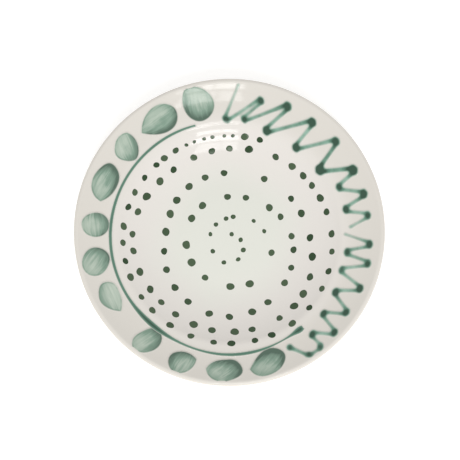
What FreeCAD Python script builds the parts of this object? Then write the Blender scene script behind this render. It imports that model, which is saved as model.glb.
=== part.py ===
"""Hand painted ceramic plate: a thrown clay body, its glaze coat and the painted marks.

Millimetres. +Z is up, the plate's axis is Z and the foot ring rests on Z = 0. The motif starts at
-Y, the side towards the person who sits at the plate.

Everything round is one profile: four straight stretches joined by tangent arcs, which is the
glazed face that food touches. Each other face is the same profile at another depth below it.
"""
import FreeCAD, Part
import os
import random
from collections import namedtuple
from math import asin, atan2, cos, radians, sin, sqrt, tan

# ---- Driving dimensions of the form ----
plate_diameter = 270.0
plate_height = 40.0
wall_thickness = 5.5          # finished wall, glaze included, from the floor out to the rolled lip
rim_width = 36.5              # from the shoulder, where the well ends, out to the lip
wall_run = 27.0               # how far inside the shoulder the well's wall would meet the floor
rim_slope = 14.0              # degrees, just outside the shoulder
lip_slope = 27.5              # degrees, just inside the lip
shoulder_round = 16.0         # radius of the rounded shoulder
straight_left = 0.8           # straight stretch kept between two neighbouring arcs

# ---- Driving dimensions of the foot ring ----
foot_radius = 76.0            # outside of the foot ring, where it rests
foot_width = 7.0
foot_height = 4.5             # depth of the recess inside the foot ring
foot_lean = 0.8               # how far each side of the foot leans in over the recess depth
foot_round = 1.2
foot_root_round = 4.0         # hollow curve from the foot up into the wall
recess_round = 2.5

# ---- Layers ----
glaze_thickness = 0.4
glaze_line = 1.5              # the glaze is wiped off the foot below this height
paint_thickness = 0.15

# ---- Painted dots: one clockwise spiral from the middle out to the shoulder ----
# Each row is one turn, read clockwise at every eighth of a turn from +X. A path value is the
# distance from the axis as a share of the shoulder's radius.
dot_path = (
    (0.02, 0.18, 0.265, 0.215, 0.172, 0.148, 0.152, 0.215),
    (0.33, 0.475, 0.475, 0.435, 0.388, 0.36, 0.345, 0.405),
    (0.555, 0.672, 0.752, 0.69, 0.577, 0.571, 0.566, 0.617),
    (0.717, 0.868, 0.89, 0.87, 0.867, 0.775, 0.778, 0.834),
    (0.911, 0.98, 0.995, 0.977, 0.948, 0.899, 0.886, 0.90),
)
# Where the brush was put down in each turn, in degrees clockwise from +X.
dot_bearings = (
    (0, 27, 49, 71, 101, 134, 180, 216, 258, 282, 331, 355),
    (24, 68, 89, 119, 143, 166, 203, 227, 267, 294, 326, 341),
    (2, 14, 29, 42, 61, 74, 90, 104, 121, 135, 150, 165, 182, 199, 213, 230, 247, 265, 302, 330,
     344),
    (3, 16, 29, 40, 49, 60, 77, 87, 100, 111, 123, 134, 144, 156, 169, 179, 193, 204, 217, 229,
     245, 258, 270, 283, 301, 313, 322, 330, 339, 348),
    (1, 11, 22, 32, 44, 56, 68, 77, 89, 98, 110, 122, 134, 143, 155, 164, 174, 183, 194, 203,
     213, 223, 229, 237, 244, 249, 255, 260, 267, 272, 279, 288),
)
dot_diameters = (4.3, 6.8, 6.6, 6.9, 6.4)      # one per turn
small_dot_diameter = 3.5                       # a run of small dots, with the brush nearly dry
small_dot_bearings = (240, 275)                # where that run lies in the last turn
dot_size_spread = 0.13                         # share by which a brush tip varies
dot_flatness = 0.90                            # radial size over the size around the plate
dot_seed = 11

# ---- Painted petals on the left of the rim ----
# bearing: degrees from +X. across: share of the rim's width, from the shoulder to the lip.
# tail: degrees from +X of the pointed end, seen from the petal's middle. reach: from the middle
# to the edge at the tail and at every further eighth of a turn, as shares of the rim's width.
Petal = namedtuple("Petal", "bearing across tail reach")
petals = (
    Petal(103.9, 0.500, 139.0, (0.44, 0.37, 0.37, 0.41, 0.41, 0.40, 0.36, 0.38)),
    Petal(122.1, 0.485, 217.0, (0.54, 0.34, 0.33, 0.41, 0.47, 0.38, 0.32, 0.36)),
    Petal(141.0, 0.495, 87.0, (0.36, 0.30, 0.28, 0.32, 0.31, 0.34, 0.29, 0.30)),
    Petal(158.3, 0.500, 256.0, (0.50, 0.32, 0.29, 0.37, 0.46, 0.32, 0.30, 0.38)),
    Petal(177.6, 0.500, 197.0, (0.32, 0.31, 0.30, 0.31, 0.32, 0.31, 0.29, 0.31)),
    Petal(193.2, 0.550, 248.0, (0.38, 0.34, 0.30, 0.33, 0.33, 0.33, 0.31, 0.34)),
    Petal(209.3, 0.525, 305.0, (0.44, 0.26, 0.23, 0.32, 0.36, 0.28, 0.27, 0.30)),
    Petal(233.8, 0.570, 205.0, (0.37, 0.30, 0.27, 0.31, 0.36, 0.33, 0.26, 0.31)),
    Petal(250.3, 0.630, 11.0, (0.36, 0.27, 0.26, 0.31, 0.31, 0.29, 0.26, 0.28)),
    Petal(268.0, 0.630, 175.0, (0.44, 0.34, 0.27, 0.29, 0.43, 0.36, 0.26, 0.30)),
    Petal(285.8, 0.550, 204.0, (0.45, 0.37, 0.31, 0.36, 0.46, 0.36, 0.27, 0.27)),
)

# ---- Painted zigzag on the right of the rim, in two strokes ----
# spot: diameter of the pool of colour where the brush turned round.
Turn = namedtuple("Turn", "bearing across spot")
zigzag_upper = (
    Turn(86.5, 0.84, 3.4), Turn(91.7, 0.06, 6.4), Turn(76.5, 0.57, 6.2), Turn(82.6, 0.08, 6.0),
    Turn(65.0, 0.64, 7.6), Turn(70.1, -0.06, 7.2), Turn(52.8, 0.61, 7.6), Turn(51.9, -0.08, 7.0),
    Turn(40.1, 0.65, 7.4), Turn(34.5, -0.04, 9.0), Turn(26.1, 0.61, 8.8), Turn(21.9, 0.15, 6.6),
    Turn(15.2, 0.63, 7.6), Turn(10.6, 0.15, 6.8), Turn(6.1, 0.62, 6.2), Turn(1.9, 0.21, 4.0),
)
zigzag_lower = (
    Turn(-1.6, 0.08, 3.4), Turn(-6.0, 0.65, 6.4), Turn(-10.4, 0.16, 6.4), Turn(-13.9, 0.68, 6.2),
    Turn(-19.4, 0.14, 6.0), Turn(-24.6, 0.69, 6.6), Turn(-30.3, 0.22, 6.8), Turn(-35.6, 0.68, 6.6),
    Turn(-41.8, 0.29, 6.4), Turn(-44.9, 0.77, 6.6), Turn(-51.7, 0.46, 6.6), Turn(-52.6, 0.80, 6.0),
    Turn(-57.9, 0.80, 5.8), Turn(-63.0, 0.43, 7.8),
)
zigzag_bend = 3.4             # how far apart a leg's end and the next leg's start lie at a turn
zigzag_swell = 0.78           # width of a leg at a turn over the size of the pool there
zigzag_waist = 0.42           # width of a leg halfway over the mean size of its two pools

# ---- Painted line that follows the shoulder ----
Station = namedtuple("Station", "bearing across width")
shoulder_line = (
    Station(107.6, 0.03, 1.7), Station(128.0, 0.07, 2.4), Station(153.0, 0.11, 2.3),
    Station(178.0, 0.15, 2.7), Station(203.0, 0.18, 2.4), Station(219.0, 0.19, 3.0),
    Station(230.0, 0.197, 4.6), Station(242.0, 0.21, 2.6), Station(268.0, 0.255, 2.4),
    Station(286.0, 0.235, 2.2), Station(297.5, 0.20, 1.5), Station(302.0, 0.19, 3.4),
    Station(305.0, 0.19, 5.2), Station(307.0, 0.19, 3.6),
)

# ---- Worked out from the values above ----
plate_radius = plate_diameter / 2
shoulder_radius = plate_radius - rim_width
lip_radius = wall_thickness / 2
floor_top = foot_height + wall_thickness
lip_centre = (plate_radius - lip_radius, plate_height - lip_radius)
bend_radius = (shoulder_radius + lip_centre[0]) / 2
AXIS = FreeCAD.Vector(0, 0, 1)
ORIGIN = FreeCAD.Vector(0, 0, 0)


def lip_point(depth):
    """Where the rim's outer stretch meets the lip, at a depth below the glazed face."""
    slope = radians(lip_slope)
    out = lip_radius - depth
    return (lip_centre[0] - out * sin(slope), lip_centre[1] + out * cos(slope))


bend_height = lip_point(0)[1] - (lip_point(0)[0] - bend_radius) * tan(radians(lip_slope))
shoulder_height = bend_height - (bend_radius - shoulder_radius) * tan(radians(rim_slope))
wall_slope = atan2(shoulder_height - floor_top, wall_run)
wall_length = sqrt(wall_run ** 2 + (shoulder_height - floor_top) ** 2)

# Each large arc takes the stretch that the arcs beside it leave.
shoulder_tangent = shoulder_round * tan((wall_slope - radians(rim_slope)) / 2)
well_tangent = wall_length - shoulder_tangent - straight_left
well_round = well_tangent / tan(wall_slope / 2)
inner_rim_length = (bend_radius - shoulder_radius) / cos(radians(rim_slope))
outer_rim_length = (lip_point(0)[0] - bend_radius) / cos(radians(lip_slope))
bend_tangent = min(inner_rim_length - shoulder_tangent, outer_rim_length) - straight_left
bend_round = bend_tangent / tan(radians(lip_slope - rim_slope) / 2)
well_start = shoulder_radius - wall_run - well_tangent

# The hollow curve at the foot's root takes no more than the foot's outer side leaves.
under_round = well_round + wall_thickness
past_well_start = max(foot_radius - well_start, 0.0)
foot_side = foot_height + under_round - sqrt(under_round ** 2 - past_well_start ** 2)
foot_root = min(foot_root_round, foot_side - foot_round - straight_left)


def vector(point):
    """A point (distance from the axis, height) of the profile as a vector."""
    return FreeCAD.Vector(point[0], 0, point[1])


def meet(point_a, slope_a, point_b, slope_b):
    """Where a line through point_a meets a line through point_b, slopes in radians."""
    run = point_b[0] - point_a[0]
    rise = point_b[1] - point_a[1]
    along = (run * sin(slope_b) - rise * cos(slope_b)) / sin(slope_b - slope_a)
    return (point_a[0] + along * cos(slope_a), point_a[1] + along * sin(slope_a))


def rounded(points, radii):
    """Edges along a path of points, with a tangent arc of each radius at its inner points."""
    edges = []
    start = vector(points[0])
    for before, corner, after, radius in zip(points, points[1:], points[2:], radii):
        middle = vector(corner)
        back = (vector(before) - middle).normalize()
        ahead = (vector(after) - middle).normalize()
        half_opening = back.getAngle(ahead) / 2
        tangent = radius / tan(half_opening)
        enter = middle + back * tangent
        leave = middle + ahead * tangent
        bisector = (back + ahead).normalize()
        crown = middle + bisector * (radius / sin(half_opening) - radius)
        edges.append(Part.LineSegment(start, enter).toShape())
        edges.append(Part.Arc(enter, crown, leave).toShape())
        start = leave
    edges.append(Part.LineSegment(start, vector(points[-1])).toShape())
    return edges


def skin(depth):
    """The upper profile, from the axis to the lip, at a depth below the glazed face."""
    slopes = (0.0, wall_slope, radians(rim_slope), radians(lip_slope))
    anchors = ((0.0, floor_top), (shoulder_radius, shoulder_height),
               (shoulder_radius, shoulder_height), lip_point(0))
    lowered = [(anchor[0] + depth * sin(slope), anchor[1] - depth * cos(slope))
               for anchor, slope in zip(anchors, slopes)]
    corners = [meet(lowered[i], slopes[i], lowered[i + 1], slopes[i + 1]) for i in range(3)]
    path = [(0.0, floor_top - depth)] + corners + [lip_point(depth)]
    return rounded(path, (well_round + depth, shoulder_round - depth, bend_round + depth))


def revolve(edges):
    """The solid turned from a closed profile."""
    wire = Part.Wire(Part.__sortEdges__(edges))
    return Part.Face(wire).revolve(ORIGIN, AXIS, 360)


def between_skins(upper, lower, end_edges):
    """The solid between the profile at two depths, closed at the lip by end_edges."""
    axis_edge = Part.LineSegment(vector((0, floor_top - upper)), vector((0, floor_top - lower)))
    return revolve(skin(upper) + end_edges + skin(lower) + [axis_edge.toShape()])


def lip_edge(inset):
    """The rolled lip, from the upper profile round to the underside."""
    slope = radians(lip_slope)
    out = lip_radius - inset
    tip = (lip_centre[0] + out * cos(slope), lip_centre[1] + out * sin(slope))
    underside = lip_point(wall_thickness - inset)
    return Part.Arc(vector(lip_point(inset)), vector(tip), vector(underside)).toShape()


def foot_block(inset):
    """The foot ring and the thick middle of the base, reaching up into the wall."""
    top = plate_height
    recess_top = foot_height + inset
    inside = foot_radius - foot_width + inset
    outside = foot_radius - inset
    lean = foot_lean / foot_height
    points = [(0.0, recess_top), (inside - lean * recess_top, recess_top), (inside, 0.0),
              (outside, 0.0), (outside - foot_lean, top)]
    edges = rounded(points, (recess_round + inset, foot_round - inset, foot_round - inset))
    edges.append(Part.LineSegment(vector(points[-1]), vector((0.0, top))).toShape())
    edges.append(Part.LineSegment(vector((0.0, top)), vector(points[0])).toShape())
    return revolve(edges)


def bowl_void(depth):
    """All that lies above the profile at a depth, inside the rim."""
    end = lip_point(depth)
    above = plate_height + wall_thickness
    edges = skin(depth)
    edges.append(Part.LineSegment(vector(end), vector((end[0], above))).toShape())
    edges.append(Part.LineSegment(vector((end[0], above)), vector((0.0, above))).toShape())
    edges.append(Part.LineSegment(vector((0.0, above)), vector((0.0, floor_top - depth))).toShape())
    return revolve(edges)


def foot_root_edges(solid):
    """The circle where the outside of the foot runs into the wall."""
    found = []
    for edge in solid.Edges:
        box = edge.BoundBox
        is_level = box.ZLength < glaze_thickness / 2
        near_foot = abs(box.XMax - foot_radius) < foot_width / 2
        if is_level and near_foot and box.ZMin > foot_height and edge.Length > plate_radius:
            found.append(edge)
    return found


def plate_form(inset):
    """The whole plate as one solid, every face but the resting one set in by inset."""
    wall = between_skins(inset, wall_thickness - inset, [lip_edge(inset)])
    foot = foot_block(inset).cut(bowl_void(wall_thickness / 2))
    form = wall.fuse(foot).removeSplitter()
    return form.makeFillet(foot_root + inset, foot_root_edges(form))


def clay_and_glaze():
    """The fired clay, the glaze over it and the glaze inside the foot ring."""
    clay = plate_form(glaze_thickness)
    wiped = Part.makeCylinder(plate_radius, glaze_line)
    shells = plate_form(0.0).cut(clay).cut(wiped).Solids
    shells.sort(key=lambda shell: shell.BoundBox.XMax)
    recess_glaze, glaze_coat = shells
    return {"clay_body": clay, "glaze_coat": glaze_coat, "recess_glaze": recess_glaze}


def paint_layer():
    """Everywhere that colour could lie on the upper face: the marks are cut out of it."""
    close = Part.LineSegment(vector(lip_point(-paint_thickness)), vector(lip_point(0.0)))
    return between_skins(-paint_thickness, 0.0, [close.toShape()])


def plan(radius, bearing):
    """A point seen from above, bearing in degrees from +X."""
    return FreeCAD.Vector(radius * cos(radians(bearing)), radius * sin(radians(bearing)), 0)


def on_rim(bearing, across):
    """A point seen from above on the rim."""
    return plan(shoulder_radius + across * rim_width, bearing)


def laid_on(layer, outlines):
    """The painted solids whose outlines, seen from above, are the given flat faces."""
    prisms = [face.extrude(AXIS * (plate_height + wall_thickness)) for face in outlines]
    return layer.common(Part.makeCompound(prisms))


def eased(values, place):
    """A smooth reading between whole places of a list of values."""
    at = min(int(place), len(values) - 2)
    share = place - at
    before = values[max(at - 1, 0)]
    start, end = values[at], values[at + 1]
    after = values[min(at + 2, len(values) - 1)]
    enter, leave = (end - before) / 2, (after - start) / 2
    rise = end - start
    return (start + enter * share + (3 * rise - 2 * enter - leave) * share ** 2
            + (enter + leave - 2 * rise) * share ** 3)


def well_slope(radius):
    """The slope of the well's wall at a distance from the axis, in radians."""
    past = max(radius - well_start, 0.0) / well_round
    return min(asin(min(past, 1.0)), wall_slope)


def dot_outline(radius, bearing, diameter):
    """One dot: nearly round on the surface, so foreshortened where the wall rises."""
    around = diameter / 2
    outward = around * dot_flatness * cos(well_slope(radius))
    ellipse = Part.Face(Part.Wire(Part.Ellipse(ORIGIN, around, outward).toShape()))
    ellipse.rotate(ORIGIN, AXIS, bearing + 90)
    ellipse.translate(plan(radius, bearing))
    return ellipse


def dot_turns():
    """The dots of each turn of the spiral, as lists of outlines."""
    chance = random.Random(dot_seed)
    path = [share * shoulder_radius for turn in dot_path for share in turn]
    turns = []
    for turn, bearings in enumerate(dot_bearings):
        outlines = []
        for bearing in bearings:
            is_last_turn = turn == len(dot_bearings) - 1
            is_small = is_last_turn and small_dot_bearings[0] < bearing < small_dot_bearings[1]
            mean = small_dot_diameter if is_small else dot_diameters[turn]
            diameter = mean * (1 + chance.uniform(-dot_size_spread, dot_size_spread))
            place = (turn + bearing / 360) * len(dot_path[turn])
            outlines.append(dot_outline(eased(path, place), -bearing, diameter))
        turns.append(outlines)
    return turns


def petal_outline(petal):
    """A smooth closed curve round the petal, with its one corner at the tail."""
    middle = on_rim(petal.bearing, petal.across)
    points = []
    for eighth, reach in enumerate(petal.reach + petal.reach[:1]):
        angle = petal.tail + eighth * 360 / len(petal.reach)
        points.append(middle + plan(reach * rim_width, angle))
    points[-1] = points[0]
    curve = Part.BSplineCurve()
    curve.interpolate(points)
    return Part.Face(Part.Wire(curve.toShape()))


def pull(start, end, start_width, middle_width, end_width):
    """One pull of the brush from start to end, its sides bowed to the width halfway."""
    middle = (start + end) / 2
    aside = (end - start).cross(AXIS).normalize() / 2
    edges = []
    for side in (aside, -aside):
        long_side = Part.Arc(start + side * start_width, middle + side * middle_width,
                             end + side * end_width)
        edges.append(long_side.toShape())
    for place, width in ((start, start_width), (end, end_width)):
        edges.append(Part.LineSegment(place + aside * width, place - aside * width).toShape())
    return Part.Face(Part.Wire(Part.__sortEdges__(edges)))


def pool_of_colour(place, diameter):
    """A round pool, where the brush paused."""
    circle = Part.Circle(place, AXIS, diameter / 2)
    return Part.Face(Part.Wire(circle.toShape()))


def bend_ends(before, place, after):
    """Where the brush comes into a turn and where it leaves it, side by side."""
    outward = (place - before).normalize() + (place - after).normalize()
    aside = outward.cross(AXIS).normalize() * (zigzag_bend / 2)
    if aside.dot(after - before) < 0:
        aside = -aside
    return place - aside, place + aside


def zigzag_outline(turns):
    """A stroke that swings from turn to turn, with a pool of colour round each bend."""
    places = [on_rim(turn.bearing, turn.across) for turn in turns]
    widths = [turn.spot * zigzag_swell for turn in turns]
    ends = [bend_ends(*three) for three in zip(places, places[1:], places[2:])]
    ends = [places[:1] * 2] + ends + [places[-1:] * 2]
    faces = [pool_of_colour(places[0], widths[0]), pool_of_colour(places[-1], widths[-1])]
    for (enter, leave), turn, width in list(zip(ends, turns, widths))[1:-1]:
        faces += [pool_of_colour(enter, width), pool_of_colour(leave, width),
                  pull(enter, leave, width * zigzag_swell, turn.spot, width * zigzag_swell)]
    for (_, start), (end, _), start_width, end_width in zip(ends, ends[1:], widths, widths[1:]):
        waist = (start_width + end_width) / 2 * zigzag_waist / zigzag_swell
        faces.append(pull(start, end, start_width * zigzag_swell, waist, end_width * zigzag_swell))
    return faces[0].multiFuse(faces[1:]).removeSplitter()


def line_outline(stations):
    """A long brush line: two smooth edges, with the stations' widths between them."""
    places = [on_rim(station.bearing, station.across) for station in stations]
    outer, inner = [], []
    for place, station in zip(places, stations):
        aside = FreeCAD.Vector(place).normalize() * (station.width / 2)
        outer.append(place + aside)
        inner.append(place - aside)
    edges = []
    for side in (outer, inner):
        curve = Part.BSplineCurve()
        curve.interpolate(side)
        edges.append(curve.toShape())
    edges.append(Part.LineSegment(outer[0], inner[0]).toShape())
    edges.append(Part.LineSegment(outer[-1], inner[-1]).toShape())
    return Part.Face(Part.Wire(Part.__sortEdges__(edges)))


def painted_marks():
    """Every painted node by name. The line was drawn over the petals that it touches."""
    layer = paint_layer()
    line = laid_on(layer, [line_outline(shoulder_line)])
    marks = {"shoulder_line": line}
    for number, outlines in enumerate(dot_turns(), start=1):
        marks[f"dots_turn_{number}"] = laid_on(layer, outlines)
    for number, petal in enumerate(petals, start=1):
        marks[f"petal_{number:02d}"] = laid_on(layer, [petal_outline(petal)]).cut(line)
    marks["zigzag_upper"] = laid_on(layer, [zigzag_outline(zigzag_upper)])
    marks["zigzag_lower"] = laid_on(layer, [zigzag_outline(zigzag_lower)])
    return marks


def main():
    os.makedirs("parts", exist_ok=True)
    nodes = {**clay_and_glaze(), **painted_marks()}
    for name, shape in nodes.items():
        shape.exportStep(f"parts/{name}.step")
        box = shape.BoundBox
        print(f"{name}: {len(shape.Solids)} solids, {shape.Volume / 1000:.3f} cm3, "
              f"valid {shape.isValid()}, {box.XLength:.1f} x {box.YLength:.1f} x {box.ZLength:.1f}")


main()
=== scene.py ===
"""Hand painted ceramic plate: the fired glaze, the bare clay of the foot and every brush mark.

All lengths are metres in the frame of the CAD model. Sizes and places are read from that model.
"""

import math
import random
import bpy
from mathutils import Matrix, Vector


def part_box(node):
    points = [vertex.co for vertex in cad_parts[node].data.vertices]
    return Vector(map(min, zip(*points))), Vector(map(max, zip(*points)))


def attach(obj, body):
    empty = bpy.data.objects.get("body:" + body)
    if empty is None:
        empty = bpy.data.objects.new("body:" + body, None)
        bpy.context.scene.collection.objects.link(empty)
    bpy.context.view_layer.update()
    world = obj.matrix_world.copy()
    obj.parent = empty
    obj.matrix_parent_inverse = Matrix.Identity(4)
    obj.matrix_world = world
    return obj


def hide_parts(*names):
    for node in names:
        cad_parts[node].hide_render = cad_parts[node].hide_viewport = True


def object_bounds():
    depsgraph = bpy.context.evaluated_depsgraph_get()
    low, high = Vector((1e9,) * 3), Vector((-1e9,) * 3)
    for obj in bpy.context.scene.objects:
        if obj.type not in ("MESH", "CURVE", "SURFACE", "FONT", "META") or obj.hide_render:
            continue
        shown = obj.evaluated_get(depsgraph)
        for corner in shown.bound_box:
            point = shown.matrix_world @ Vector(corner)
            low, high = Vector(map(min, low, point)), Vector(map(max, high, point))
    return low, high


bl_info = {
    "name": "Painted Ceramic Plate",
    "version": (1, 0, 0),
    "blender": (4, 5, 0),
    "location": "3D View > Sidebar > Plate",
    "description": "Glazes and paints a ceramic plate on its CAD frame",
    "category": "Object",
}

from collections import namedtuple

import bpy
import numpy as np
from bpy.props import FloatProperty, FloatVectorProperty, IntProperty, PointerProperty
from mathutils import Vector
from mathutils.bvhtree import BVHTree
from mathutils.kdtree import KDTree

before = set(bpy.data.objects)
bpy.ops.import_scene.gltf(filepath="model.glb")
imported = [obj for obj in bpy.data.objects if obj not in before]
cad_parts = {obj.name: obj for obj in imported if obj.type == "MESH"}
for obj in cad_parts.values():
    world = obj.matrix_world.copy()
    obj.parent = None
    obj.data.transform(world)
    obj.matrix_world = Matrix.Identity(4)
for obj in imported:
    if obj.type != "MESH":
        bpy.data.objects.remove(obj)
CAD_LOW, CAD_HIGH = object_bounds()
MM = 0.001
UP = Vector((0, 0, 1))
BODY = "root"
ABOVE_PLATE = CAD_HIGH.z + 20 * MM      # height at which flat marks are cut before they are laid
GLAZE_ROUGHNESS = 0.075
PAINT_ROUGHNESS = 0.09                  # pigment in the glaze leaves it a little less smooth

PETALS = sorted(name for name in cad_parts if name.startswith("petal_"))
DOT_TURNS = sorted(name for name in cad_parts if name.startswith("dots_turn_"))
ZIGZAGS = ("zigzag_upper", "zigzag_lower")

# How each petal was painted: where the brush was pressed hardest and which way it was pulled, in
# degrees from +X, and how loaded it was.
Brush = namedtuple("Brush", "press load stroke")
PETAL_BRUSH = {
    "petal_01": Brush(-100, 0.92, 105),
    "petal_02": Brush(-40, 0.90, 35),
    "petal_03": Brush(-15, 0.66, 110),
    "petal_04": Brush(25, 0.98, 62),
    "petal_05": Brush(20, 0.72, 95),
    "petal_06": Brush(45, 0.76, 60),
    "petal_07": Brush(200, 0.42, 115),
    "petal_08": Brush(20, 0.74, 35),
    "petal_09": Brush(115, 0.84, 55),
    "petal_10": Brush(45, 1.05, 35),
    "petal_11": Brush(85, 1.12, 48),
}


def srgb(code):
    """An sRGB hex colour as linear red, green, blue and alpha."""
    channels = [int(code[i:i + 2], 16) / 255 for i in (0, 2, 4)]
    linear = [c / 12.92 if c <= 0.04045 else ((c + 0.055) / 1.055) ** 2.4 for c in channels]
    return (*linear, 1.0)


def colour(code, name, description):
    """A colour setting that a user can change."""
    return FloatVectorProperty(name=name, description=description, subtype="COLOR", size=4,
                               min=0, max=1, default=srgb(code))


def length(millimetres, name, description):
    """A length setting that a user can change."""
    return FloatProperty(name=name, description=description, subtype="DISTANCE", unit="LENGTH",
                         min=0, precision=5, default=millimetres * MM)


class PlateForm(bpy.types.PropertyGroup):
    """Sizes of the turned form, the same as the frame's"""
    wall: length(5.5, "Wall", "Finished thickness of the wall")
    rim_width: length(36.5, "Rim width", "From the shoulder to the lip")
    wall_run: length(27.0, "Wall run", "How far inside the shoulder the wall would meet the floor")
    shoulder_round: length(16.0, "Shoulder", "Radius of the rounded shoulder")
    straight_left: length(0.8, "Straight", "Straight stretch between two arcs")
    foot_radius: length(76.0, "Foot radius", "Outside of the foot ring")
    foot_width: length(7.0, "Foot width", "Width of the foot ring")
    foot_height: length(4.5, "Recess", "Depth inside the foot ring")
    foot_lean: length(0.8, "Foot lean", "How far each side of the foot leans in")
    foot_root: length(4.0, "Foot root", "Hollow curve where the foot meets the wall")
    recess_round: length(2.5, "Recess corner", "Hollow curve inside the foot ring")
    rim_slope: FloatProperty(name="Rim slope", description="Slope just outside the shoulder",
                             subtype="ANGLE", default=math.radians(14))
    lip_slope: FloatProperty(name="Lip slope", description="Slope just inside the lip",
                             subtype="ANGLE", default=math.radians(27.5))
    turns: IntProperty(name="Facets", description="Steps round the plate", default=320, min=32)
    profile_step: length(1.6, "Profile step", "Longest step along the turned profile")


class PlateGlaze(bpy.types.PropertyGroup):
    """The glaze coat and the clay under it"""
    thickness: length(0.4, "Glaze", "Thickness of the glaze coat")
    line: length(1.5, "Glaze line", "Height below which the glaze is wiped off the foot")
    wave_height: length(0.22, "Wave height", "How far the turned face strays from true")
    wave_size: length(70.0, "Wave size", "Spacing of those waves")
    # Floor and wall tints: the greener floor and pinker walls are a painted reflection of the room,
    # not a change in the glaze.
    floor_colour: colour("D5D6CE", "Floor", "Glaze where it lies thick, on the floor")
    wall_colour: colour("D8D4CF", "Wall", "Glaze over the walls")
    # Rim colour: painted shade, darker where the sloped rim turns away from the light.
    rim_colour: colour("CFCBC4", "Rim", "Glaze on the rim, where more has drained off")
    edge_colour: colour("CFC8BD", "Edge", "Glaze where it has run thin, on the lip")
    clay_colour: colour("CDBFA9", "Clay", "Bare fired clay")
    clay_speck: colour("9E8B72", "Clay specks", "Coarse grains in the clay")


class PlatePaint(bpy.types.PropertyGroup):
    """The colours that the marks are painted with"""
    layer: length(0.13, "Paint", "Height of a full brush mark over the glaze")
    bleed: length(1.1, "Bleed", "How far colour creeps past the brush's edge in the fire")
    rounding: length(1.8, "Rounding", "How far a wet stroke rounds its own bends")
    cell: length(0.45, "Cell", "Spacing of the mesh under a soft mark")
    dot_colour: colour("3F5439", "Dots", "Dense green of the dots")
    # The dark end is also reached by the outer turns of dots, where it is painted shade.
    dot_dark: colour("1B3A18", "Dark dots", "Dots painted with a full brush")
    petal_light: colour("B7C2B5", "Petal light", "Thinnest wash")
    petal_middle: colour("7A9383", "Petal middle", "Plain wash")
    petal_dark: colour("4B6254", "Petal dark", "Wash where it pooled")
    stroke_light: colour("9ABBAB", "Stroke light", "Thin zigzag stroke")
    stroke_middle: colour("5D8472", "Stroke middle", "Plain zigzag stroke")
    stroke_dark: colour("294938", "Stroke dark", "Zigzag stroke where it pooled")
    line_colour: colour("5C8270", "Line", "Thin line round the shoulder")
    line_dark: colour("2F5040", "Dark line", "Line where the brush was pressed")
    seed: IntProperty(name="Seed", description="Which of many hands painted it", default=5)


class PlateStage(bpy.types.PropertyGroup):
    """Floor, lights and camera"""
    floor_size: length(6000.0, "Floor", "Side of the floor")
    floor_colour: colour("F4F4F4", "Floor colour", "Plain pale floor")
    camera_distance: length(1050.0, "Camera distance", "From the lens to the plate")
    camera_elevation: FloatProperty(name="Camera height", description="Angle above the floor",
                                    subtype="ANGLE", default=math.radians(81))
    lens: FloatProperty(name="Lens", description="Focal length in millimetres", default=93.6)
    aim: FloatVectorProperty(name="Aim", description="Point the camera looks at", size=3,
                             subtype="TRANSLATION", default=(0.0005, 0.0014, 0.025))
    sky_strength: FloatProperty(name="Sky", description="Even light from all round", default=0.78)
    key_power: FloatProperty(name="Key", description="Watts of the broad front light", default=21.0)
    window_glow: FloatProperty(name="Window", description="Radiance of the window", default=5.8)


def settings():
    """The four groups of settings, in the order form, glaze, paint, stage."""
    scene = bpy.context.scene
    return scene.plate_form, scene.plate_glaze, scene.plate_paint, scene.plate_stage


# ---------------------------------------------------------------- node materials

def add(tree, kind, values=None, links=None, **properties):
    """Adds a node, sets its properties and input values, and links its inputs."""
    node = tree.nodes.new(kind)
    for name, value in properties.items():
        setattr(node, name, value)
    for socket, value in (values or {}).items():
        node.inputs[socket].default_value = value
    for socket, source in (links or {}).items():
        tree.links.new(source, node.inputs[socket])
    return node


def new_material(name):
    """An empty node material and its tree."""
    material = bpy.data.materials.new(name)
    material.use_nodes = True
    material.node_tree.nodes.clear()
    return material, material.node_tree


def ramp(tree, fac, stops):
    """A colour ramp with (place, colour) stops, as a colour output."""
    node = add(tree, "ShaderNodeValToRGB", links={"Fac": fac})
    elements = node.color_ramp.elements
    while len(elements) < len(stops):
        elements.new(0.5)
    for element, (place, value) in zip(elements, stops):
        element.position = place
        element.color = value
    return node.outputs["Color"]


def blend_colour(tree, fac, first, second):
    """A mix of two colours; each is a colour output or a constant."""
    node = add(tree, "ShaderNodeMix", data_type="RGBA")
    tree.links.new(fac, node.inputs["Factor"])
    for socket, value in ((6, first), (7, second)):
        if isinstance(value, bpy.types.NodeSocket):
            tree.links.new(value, node.inputs[socket])
        else:
            node.inputs[socket].default_value = value
    return node.outputs[2]


def calculate(tree, operation, *terms, clamp=False):
    """A math node over outputs and constants, as a value output."""
    node = add(tree, "ShaderNodeMath", operation=operation, use_clamp=clamp)
    for socket, term in enumerate(terms):
        if isinstance(term, bpy.types.NodeSocket):
            tree.links.new(term, node.inputs[socket])
        else:
            node.inputs[socket].default_value = term
    return node.outputs[0]


def remap(tree, value, low, high, to_low=0.0, to_high=1.0):
    """A value moved smoothly from one range to another."""
    node = add(tree, "ShaderNodeMapRange", links={"Value": value}, interpolation_type="SMOOTHSTEP",
               values={"From Min": low, "From Max": high, "To Min": to_low, "To Max": to_high})
    return node.outputs["Result"]


def noise(tree, vector, size, detail=2.0, roughness=0.5):
    """Noise whose blotches are about size metres across, as a value output."""
    node = add(tree, "ShaderNodeTexNoise", links={"Vector": vector},
               values={"Scale": 1 / size, "Detail": detail, "Roughness": roughness})
    return node.outputs["Fac"]


def centred_noise(tree, vector, size, detail=2.0):
    """The same noise, moved to lie evenly round zero."""
    return calculate(tree, "SUBTRACT", noise(tree, vector, size, detail=detail), 0.5)


def object_place(tree):
    """Object coordinates, which are metres in the frame."""
    return add(tree, "ShaderNodeTexCoord").outputs["Object"]


def attribute(tree, name):
    """A number kept on the mesh's points."""
    return add(tree, "ShaderNodeAttribute", attribute_name=name).outputs["Fac"]


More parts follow.
